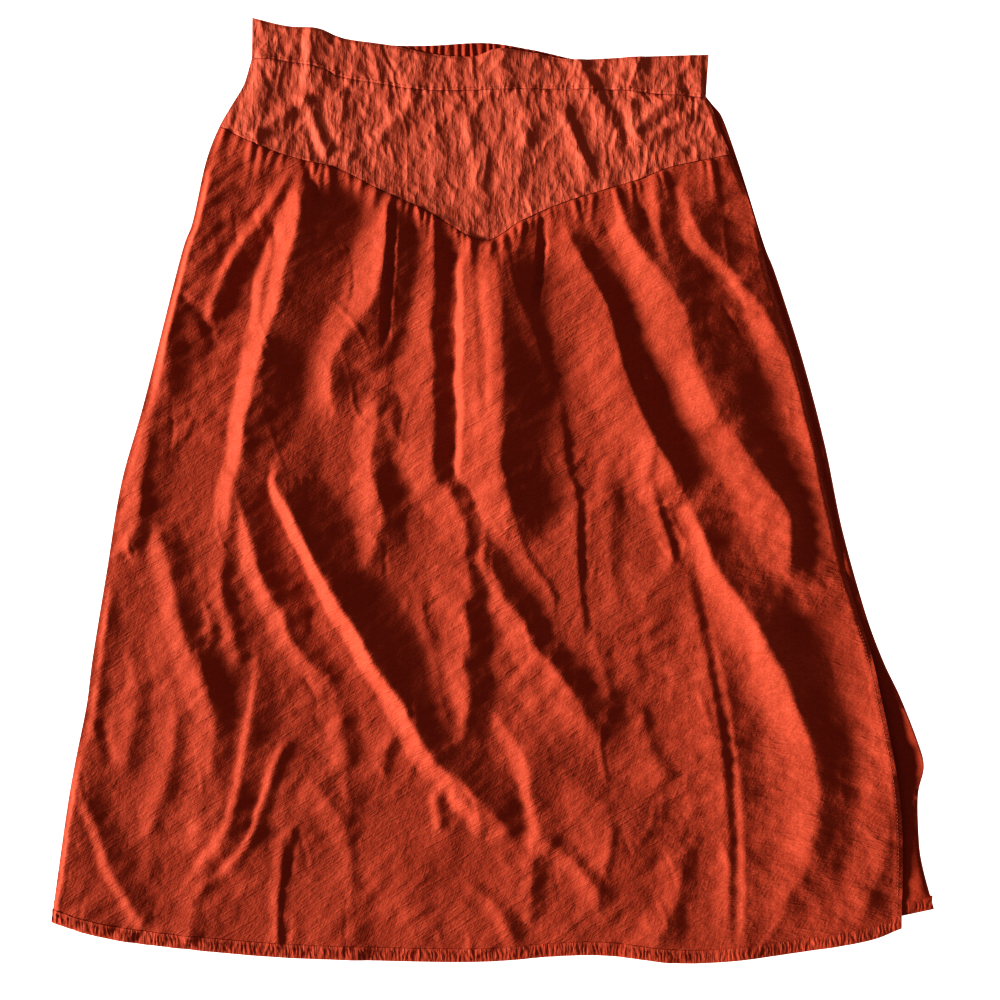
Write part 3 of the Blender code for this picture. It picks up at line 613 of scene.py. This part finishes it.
def back_top(x, y):
    """Top of the back panel, nearly flat but for the roll that shows beside the slit."""
    bare = eased((y - SLIT_TOP) / FREED)
    rolls = folds_height(BACK_FOLDS, x, y, np.ones(x.shape))
    edge = eased((x_on(BACK_RIGHT_SIDE, y) - x) / 2)
    fine = 0.0007 * ripple(x / 8, y / 26, 81) * bare
    return BACK_THICK - 0.0004 * (1 - edge) + rolls * edge + fine * edge


def back_hem_top(x, y):
    """Top of the back's turned hem, puckered by its stitching."""
    across = (y_on(BACK_HEM, x) - y) / HEM_WIDTH
    turn = x / 5.3 + 0.9 * ripple(x / 8, across, 85)
    puckers = 0.0003 * (1 + np.cos(2 * np.pi * turn)) * eased(across / 0.25) * eased((1.15 - across) / 0.4)
    return BACK_THICK + puckers


def patch(top, bottom, left, right):
    """A grid between four edges: the mean of the edges' two ruled surfaces (a Coons patch).

    Each edge is a line of plan points. Top and bottom run left to right and have one point for each
    column; left and right run downwards and have one for each row.
    """
    u = np.linspace(0, 1, len(top))[None, :, None]
    v = np.linspace(0, 1, len(left))[:, None, None]
    ruled = (1 - v) * top[None] + v * bottom[None] + (1 - u) * left[:, None] + u * right[:, None]
    corners = (1 - v) * ((1 - u) * top[0] + u * top[-1]) + v * ((1 - u) * bottom[0] + u * bottom[-1])
    grid = ruled - corners
    return grid[..., 0], grid[..., 1]


def between(upper, lower, columns, rows, sides=None):
    """A grid between an upper and a lower line, and two side lines or straight sides."""
    across = [evenly(line, count=columns + 1) for line in (upper, lower)]
    if sides is None:
        down = [np.linspace(across[0][end], across[1][end], rows + 1) for end in (0, -1)]
    else:
        down = [evenly(line, count=rows + 1) for line in sides]
    return patch(*across, *down)


def side_line(line, start_y, end_y):
    """The stretch of a downward line between two heights on the plan, finely spaced."""
    y = np.linspace(start_y, end_y, 400)
    return np.column_stack([x_on(line, y), y])


def underside(top, least, reach):
    """The front's lower side: the lowest of the top's neighbours less its thickness, no lower than least."""
    low = top
    for axis in (0, 1):
        sides = [(reach, reach) if side == axis else (0, 0) for side in (0, 1)]
        padded = np.pad(low, sides, mode="edge")
        own = np.arange(top.shape[axis])
        low = np.minimum.reduce([np.take(padded, own + step, axis=axis) for step in range(2 * reach + 1)])
    return np.maximum(low - FRONT_THICK, least)


def cloth_shell(name, grid, top_of, least, finish, slot, skip=2, grain=None):
    """A closed shell: an upper grid, a lower one with every skip-th point, and walls between their rims.

    Where least is None, the lower side is flat on the floor. Grain is how far each point is along the
    crinkle and across it: down and across the plan, where none is given.
    """
    x, y = grid
    rows, columns = x.shape
    top = top_of(x, y)
    lower = np.zeros(x.shape) if least is None else underside(top, least, skip - 1)
    flat = [(x - MIDDLE_X) * UNIT, (MIDDLE_Y - y) * UNIT]
    upper = np.stack(flat + [top], axis=-1)
    under = np.stack(flat + [lower], axis=-1)[::skip, ::skip]
    verts = np.vstack([upper.reshape(-1, 3), under.reshape(-1, 3)])
    order = np.arange(rows * columns).reshape(rows, columns)
    below = rows * columns + np.arange(under.shape[0] * under.shape[1]).reshape(under.shape[:2])
    faces = quads(order) + quads(below[:, ::-1])
    rim, low_rim = rim_of(order), rim_of(below)
    for i in range(len(low_rim) - 1):
        faces.append(rim[skip * i : skip * i + skip + 1] + [low_rim[i + 1], low_rim[i]])
    mesh = bpy.data.meshes.new(name)
    mesh.from_pydata(verts.tolist(), [], faces)
    mesh.shade_smooth()
    mesh.set_sharp_from_angle(angle=math.radians(65))
    ways = (y, x) if grain is None else grain
    along, across = (np.concatenate([way.ravel(), way[::skip, ::skip].ravel()]) for way in ways)
    corner = np.empty(len(mesh.loops), np.int32)
    mesh.loops.foreach_get("vertex_index", corner)
    uv = np.column_stack([along[corner], across[corner]]) * UNIT
    mesh.uv_layers.new(name="grain").data.foreach_set("uv", uv.astype(np.float32).ravel())
    mesh.materials.append(finish)
    return finished(bpy.data.objects.new(name + "_cloth", mesh), slot, name)


def quads(order):
    """The four-cornered faces between neighbouring rows and columns of a grid of point numbers."""
    corners = [order[:-1, :-1], order[1:, :-1], order[1:, 1:], order[:-1, 1:]]
    return np.stack(corners, axis=-1).reshape(-1, 4).tolist()


def rim_of(order):
    """The point numbers round a grid's edge, clockwise on the plan, back to the first."""
    sides = [order[0, :-1], order[:-1, -1], order[-1, :0:-1], order[:0:-1, 0], order[:1, 0]]
    return np.concatenate(sides).tolist()


def finished(piece, slot, *nodes):
    """The piece in the scene: it rides on the skirt's one body and may stand for CAD nodes."""
    bpy.context.scene.collection.objects.link(piece)
    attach(piece, "root")
    if nodes:
        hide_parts(*nodes)
    return piece


class Signal:
    """A socket's value in a material. Python's operators on it add Math nodes."""

    def __init__(self, finish, end):
        self.finish = finish
        self.end = end

    def maths(self, operation, first, second):
        return self.finish.node("ShaderNodeMath", {"operation": operation}, {0: first, 1: second})

    def __add__(self, other):
        return self.maths("ADD", self, other)

    def __sub__(self, other):
        return self.maths("SUBTRACT", self, other)

    def __rsub__(self, other):
        return self.maths("SUBTRACT", other, self)

    def __mul__(self, other):
        return self.maths("MULTIPLY", self, other)

    __radd__ = __add__
    __rmul__ = __mul__

    def __abs__(self):
        return self.maths("ABSOLUTE", self, 0.0)


class Finish:
    """A material, built from nodes one at a time."""

    def __init__(self, name):
        self.material = bpy.data.materials.new(name)
        self.material.use_nodes = True
        self.tree = self.material.node_tree
        self.surface = self.tree.nodes["Principled BSDF"]

    def node(self, kind, settings, sockets, output=0):
        """One node: its settings are set first, then its sockets' values or links."""
        made = self.tree.nodes.new(kind)
        for name, value in settings.items():
            setattr(made, name, value)
        for key, value in sockets.items():
            self.feed(made.inputs[key], value)
        return Signal(self, made.outputs[output])

    def feed(self, socket, value):
        """Links a signal to a socket, or sets the socket's own value."""
        if isinstance(value, Signal):
            self.tree.links.new(value.end, socket)
        else:
            socket.default_value = value

    def dress(self, values):
        """Sets or links sockets of the surface's shader, by name."""
        for name, value in values.items():
            self.feed(self.surface.inputs[name], value)

    def mixed(self, share, first, second):
        """A colour between two."""
        sockets = {"Factor": share, 6: first, 7: second}
        return self.node("ShaderNodeMix", {"data_type": "RGBA"}, sockets, output=2)

    def noise(self, where, size, detail=2.0, output=0):
        """Noise of a size in the units of where, from 0 to 1."""
        values = {"Vector": where, "Scale": 1 / size, "Detail": detail, "Roughness": 0.55}
        return self.node("ShaderNodeTexNoise", {}, values, output)

    def stretched(self, where, along, across):
        """Coordinates in which a length along the crinkle and one across it each become 1."""
        scale = (1 / along, 1 / across, 1.0)
        return self.node("ShaderNodeVectorMath", {"operation": "MULTIPLY"}, {0: where, 1: scale})

    def bent(self, where):
        """Coordinates pushed about by a few millimetres, so that what follows them isn't straight."""
        push = self.node("ShaderNodeVectorMath", {"operation": "SCALE"},
                         {0: self.noise(where, 0.02, 1.0, output=1), "Scale": 0.012})
        return self.node("ShaderNodeVectorMath", {"operation": "ADD"}, {0: where, 1: push})

    def ramp(self, value, end):
        """0 to 1 as a value goes from 0 to an end."""
        return self.node("ShaderNodeMapRange", {}, {0: value, 1: 0.0, 2: end, 3: 0.0, 4: 1.0})

    def bumped(self, height_mm):
        """A normal bent by a height in millimetres."""
        return self.node("ShaderNodeBump", {}, {"Height": height_mm, "Distance": 0.001, "Strength": 1.0})


def cloth_finish(name, colour, dark_tone_and_shade, streak, pebble, facet, depth, sheen):
    """Crinkled woven cloth, with its streaks, its pebbly crumple and its creased facets.

    Streak, pebble and depth are their heights in millimetres, and facet is a facet's length in metres.
    """
    finish = Finish(name)
    grain = finish.node("ShaderNodeUVMap", {"uv_map": "grain"}, {})
    place = finish.node("ShaderNodeTexCoord", {}, {}, output=3)
    turn = (0.0, 0.0, math.radians(62))
    crossing = finish.node("ShaderNodeMapping", {}, {"Vector": grain, "Rotation": turn})
    long_streaks = finish.noise(finish.stretched(grain, 0.0150, 0.0034), 1.0)
    short_streaks = finish.noise(finish.stretched(grain, 0.0060, 0.0014), 1.0)
    cross_streaks = finish.noise(finish.stretched(crossing, 0.0130, 0.0030), 1.0)
    crumple = finish.noise(place, 0.0065)
    facet_place = finish.stretched(finish.bent(grain), facet, 0.45 * facet)
    facets = finish.node("ShaderNodeTexVoronoi", {}, {"Vector": facet_place, "Scale": 1.0})
    cell_place = finish.noise(place, 0.030, 0.0, output=1)
    cells = finish.node(
        "ShaderNodeTexVoronoi", {"feature": "DISTANCE_TO_EDGE"}, {"Vector": cell_place, "Scale": 7.0}
    )
    creases = finish.ramp(cells, 0.05)
    patches = finish.noise(place, 0.045)
    amount = 0.3 + 1.3 * patches
    folded = abs(long_streaks - 0.5) + 0.8 * abs(cross_streaks - 0.5) * (1.6 - amount)
    height = streak * amount * (0.6 * long_streaks + folded + 0.4 * short_streaks) + pebble * crumple
    height = height + 0.05 * creases + depth * facets
    # Painted shade: the base colour is made darker along the short streaks' fine crease lines, where the
    # crinkle would shade itself.
    lines = 1 - finish.ramp(abs(short_streaks - 0.5), 0.05)
    warp, weft = (
        finish.node("ShaderNodeTexWave", {"bands_direction": axis}, {"Vector": place, "Scale": scale})
        for axis, scale in (("X", 260.0), ("Y", 240.0))
    )
    # The base colour varies at random in patches, is lighter along the long streaks, and carries painted
    # shade in the crease lines.
    share = 0.35 + 0.5 * patches + 0.5 * long_streaks - 0.45 * lines
    finish.dress({
        "Base Color": finish.mixed(share, dark_tone_and_shade, colour),
        "Roughness": 0.62 + 0.2 * short_streaks,
        "Normal": finish.bumped(height + 0.012 * (warp + weft)),
        "Specular IOR Level": 0.15,
        "Sheen Weight": sheen,
        "Sheen Roughness": 0.45,
        "Sheen Tint": (1.0, 0.62, 0.5, 1.0),
    })
    return finish.material


def thread_finish(name, colour):
    """Sewing thread, twisted."""
    finish = Finish(name)
    place = finish.node("ShaderNodeTexCoord", {}, {}, output=3)
    fibre = finish.noise(place, 0.0004)
    dark = tuple(0.6 * part for part in colour[:3]) + (1.0,)
    finish.dress({
        "Base Color": finish.mixed(fibre, dark, colour),
        "Normal": finish.bumped(0.05 * fibre),
        "Roughness": 0.6,
    })
    return finish.material


RUST = (0.44, 0.101, 0.057, 1.0)
# The yoke's and waistband's rust is lighter and paler than the panel's: painted sheen, standing in for the
# light their crinkled surface catches.
RUST_YOKE_PAINTED_SHEEN = (0.50, 0.140, 0.090, 1.0)
RUST_THREAD = (0.50, 0.130, 0.075, 1.0)
# The darker rust serves both as the cloth's darker random tone and as the painted shade in its fine crease
# lines.
RUST_DARK_TONE_AND_SHADE = (0.30, 0.050, 0.024, 1.0)
RUST_BACK = (0.39, 0.082, 0.043, 1.0)
panel_cloth = cloth_finish(
    "panel_cloth", RUST, RUST_DARK_TONE_AND_SHADE, streak=1.1, pebble=0.5, facet=0.014, depth=0.30, sheen=0.02
)
yoke_cloth = cloth_finish(
    "yoke_cloth", RUST_YOKE_PAINTED_SHEEN, RUST, streak=0.6, pebble=0.9, facet=0.016, depth=1.1, sheen=0.04
)
back_cloth = cloth_finish(
    "back_cloth", RUST_BACK, RUST_DARK_TONE_AND_SHADE, streak=0.6, pebble=0.4, facet=0.014, depth=0.25, sheen=0.04
)
thread = thread_finish("rust_thread", RUST_THREAD)


def front_panel():
    """The gathered front panel, from the yoke's seam to the hem's stitching."""
    seam = lowered(smooth_line(YOKE_SEAM, 2), 0.7 * SEAM_GAP)
    lower = lowered(smooth_line(FRONT_HEM, 2), -HEM_WIDTH * UNIT - SEAM_GAP / 2)
    left = side_line(LEFT_SIDE, seam[0, 1], lower[0, 1])
    seam_side = side_line(RIGHT_SEAM, seam[-1, 1], SLIT_TOP)
    right = np.vstack([seam_side[:-1], side_line(SLIT_EDGE, SLIT_TOP, lower[-1, 1])])
    lower[0, 0], lower[-1, 0] = left[-1, 0], right[-1, 0]
    x, y = between(seam, lower, 352, 252, (left, right))
    grain = (x, y + grain_lean(x))
    return cloth_shell("front_panel", (x, y), panel_top, OVER_BACK, panel_cloth, "cloth_front", 4, grain)


def hem_strip(name, line, right_line, top_of, least, finish, slot):
    """A narrow strip above an edge of the skirt, from its left side to the line at its right."""
    lower = smooth_line(line, 1)
    upper = lowered(lower, -HEM_WIDTH * UNIT - HEM_LAP)
    upper[0, 0] = x_on(LEFT_SIDE, upper[0, 1])
    upper[-1, 0] = x_on(right_line, upper[-1, 1])
    return cloth_shell(name, between(upper, lower, 860, 8), top_of, least, finish, slot)


def front_hem():
    """The front's turned and stitched edge."""
    return hem_strip("front_hem", FRONT_HEM, SLIT_EDGE, hem_top, OVER_BACK, panel_cloth, "cloth_front")


def back_hem():
    """The back's turned edge, flat on the floor."""
    return hem_strip("back_hem", BACK_HEM, BACK_RIGHT_SIDE, back_hem_top, None, back_cloth, "cloth_back")


def front_yoke():
    """The pointed yoke between the waistband and the gathered panel."""
    upper = lowered(smooth_line(FRONT_BAND_SEAM, 2), SEAM_GAP / 2)
    lower = lowered(smooth_line(YOKE_SEAM, 2), -0.7 * SEAM_GAP)
    left = side_line(LEFT_SIDE, upper[0, 1], lower[0, 1])
    right = side_line(RIGHT_SEAM, upper[-1, 1], lower[-1, 1])
    grid = between(upper, lower, 380, 84, (left, right))
    return cloth_shell("front_yoke", grid, yoke_top, OVER_BACK, yoke_cloth, "cloth_front")


def front_waistband():
    """The flat doubled strip over the yoke, lying on the elastic one."""
    upper = smooth_line(FRONT_BAND_TOP, 2)
    lower = lowered(smooth_line(FRONT_BAND_SEAM, 2), -SEAM_GAP / 2)
    grid = between(upper, lower, 380, 40)
    return cloth_shell("front_waistband", grid, band_top, OVER_ELASTIC, yoke_cloth, "cloth_front")


def back_waistband():
    """The gathered elastic strip, flat on the floor."""
    upper = smooth_line(BACK_BAND_TOP, 2)
    lower = lowered(smooth_line(BACK_BAND_SEAM, 2), -SEAM_GAP / 2)
    grid = between(upper, lower, 464, 24)
    return cloth_shell("back_waistband", grid, elastic_top, None, back_cloth, "cloth_elastic")


def back_panel():
    """The plain back, flat on the floor and wider than the front beside the slit."""
    upper = lowered(smooth_line(BACK_BAND_SEAM, 2), SEAM_GAP / 2)
    lower = lowered(smooth_line(BACK_HEM, 2), -HEM_WIDTH * UNIT - SEAM_GAP / 2)
    left = side_line(LEFT_SIDE, upper[0, 1], lower[0, 1])
    right = side_line(BACK_RIGHT_SIDE, upper[-1, 1], lower[-1, 1])
    lower[0, 0], lower[-1, 0] = left[-1, 0], right[-1, 0]
    grid = between(upper, lower, 200, 240, (left, right))
    return cloth_shell("back_panel", grid, back_top, None, back_cloth, "cloth_back", grain=grid)


def stitch_row(name, line, top_of, spacing, length, width, over):
    """A row of stitches along a plan line: each is a thread with six sides, sunk at both ends.

    Along a stitch, t runs from -1 to 1: its radius is the root of 1 - 0.9 t squared, and it stands over
    the cloth by over times 1 - t squared.
    """
    spots = evenly(line, spacing=spacing)
    middle = (spots[1:] + spots[:-1]) / 2
    ahead = np.diff(spots, axis=0)
    ahead /= np.hypot(*ahead.T)[:, None]
    t = np.linspace(-1, 1, 5)
    spine = middle[:, None] + ahead[:, None] * (t * length / 2)[None, :, None]
    thick = 0.5 * width * np.sqrt(1 - 0.9 * t**2)[None, :, None]
    turn = np.linspace(0, 2 * np.pi, 6, endpoint=False)[None, None, :]
    level = top_of(spine[..., 0], spine[..., 1]) + over * (1 - t**2) - 0.4 * width * UNIT
    sideways = np.stack([-ahead[:, 1], ahead[:, 0]], axis=-1)[:, None, None, :]
    place = spine[:, :, None] + sideways * (thick * np.cos(turn))[..., None]
    height = level[..., None] + UNIT * thick * np.sin(turn)
    verts = np.stack([(place[..., 0] - MIDDLE_X) * UNIT, (MIDDLE_Y - place[..., 1]) * UNIT, height], axis=-1)
    order = np.arange(verts.size // 3).reshape(verts.shape[:3])
    around = np.roll(order, -1, axis=2)
    walls = np.stack([order[:, :-1], around[:, :-1], around[:, 1:], order[:, 1:]], axis=-1).reshape(-1, 4)
    ends = order[:, 0, ::-1].tolist() + order[:, -1].tolist()
    mesh = bpy.data.meshes.new(name)
    mesh.from_pydata(verts.reshape(-1, 3).tolist(), [], walls.tolist() + ends)
    mesh.shade_smooth()
    mesh.materials.append(thread)
    finished(bpy.data.objects.new(name, mesh), "cloth_front")


def studio():
    """A pale floor, a low soft sun from the left, a weak fill, and a camera straight above."""
    scene = bpy.context.scene
    floor_mesh = bpy.data.meshes.new("floor")
    corners = [(-6, -6, -0.0004), (6, -6, -0.0004), (6, 6, -0.0004), (-6, 6, -0.0004)]
    floor_mesh.from_pydata(corners, [], [(0, 1, 2, 3)])
    pale = Finish("pale_floor")
    pale.dress({
        "Base Color": (0.2, 0.2, 0.2, 1.0),
        "Emission Color": (1.0, 1.0, 1.0, 1.0),
        "Emission Strength": 0.85,
        "Roughness": 0.9,
        "Specular IOR Level": 0.0,
    })
    pale.material.cycles.emission_sampling = "NONE"
    floor_mesh.materials.append(pale.material)
    floor = bpy.data.objects.new("floor", floor_mesh)
    scene.collection.objects.link(floor)

    sun = bpy.data.lights.new("low_sun", "SUN")
    sun.energy = 5.5
    sun.angle = math.radians(14)
    lamp = bpy.data.objects.new("low_sun", sun)
    lamp.rotation_euler = (math.radians(6), math.radians(-74.5), 0)
    scene.collection.objects.link(lamp)

    world = bpy.data.worlds.new("studio")
    world.use_nodes = True
    fill = world.node_tree.nodes["Background"].inputs
    fill["Color"].default_value = (1.0, 0.78, 0.66, 1.0)
    fill["Strength"].default_value = 0.22
    scene.world = world
    scene.view_settings.view_transform = "Standard"
    scene.view_settings.look = "Very High Contrast"

    lens = bpy.data.cameras.new("camera")
    lens.lens = 80
    lens.sensor_width = 36
    camera = bpy.data.objects.new("camera", lens)
    away = 1000 * UNIT * lens.lens / lens.sensor_width  # from here, 1000 plan units fill the view
    camera.location = ((500 - MIDDLE_X) * UNIT, (MIDDLE_Y - 500) * UNIT, 0.006 + away)
    scene.collection.objects.link(camera)
    scene.camera = camera


studio()
makers = (back_panel, back_hem, back_waistband, front_panel, front_hem, front_yoke, front_waistband)
pieces = {make.__name__: make() for make in makers}
hem_line = lowered(smooth_line(FRONT_HEM, 2), -0.9 * HEM_WIDTH * UNIT)[4:-4]
stitch_row("hem_stitches", hem_line, hem_top, spacing=3.6, length=2.6, width=0.7, over=0.0003)
band_line = lowered(smooth_line(FRONT_BAND_SEAM, 2), -0.0022)[3:-3]
stitch_row("band_stitches", band_line, band_top, spacing=3.4, length=2.5, width=0.7, over=0.0003)
slit_line = side_line(SLIT_EDGE, SLIT_TOP + 4, 915) - np.array([4.6, 0.0])
stitch_row("slit_stitches", slit_line, panel_top, spacing=3.6, length=2.6, width=0.7, over=0.0003)
tack_line = np.array([(696.0, 90.5), (707.0, 93.0)])
stitch_row("seam_tack", tack_line, band_top, spacing=1.3, length=1.1, width=0.9, over=0.0004)
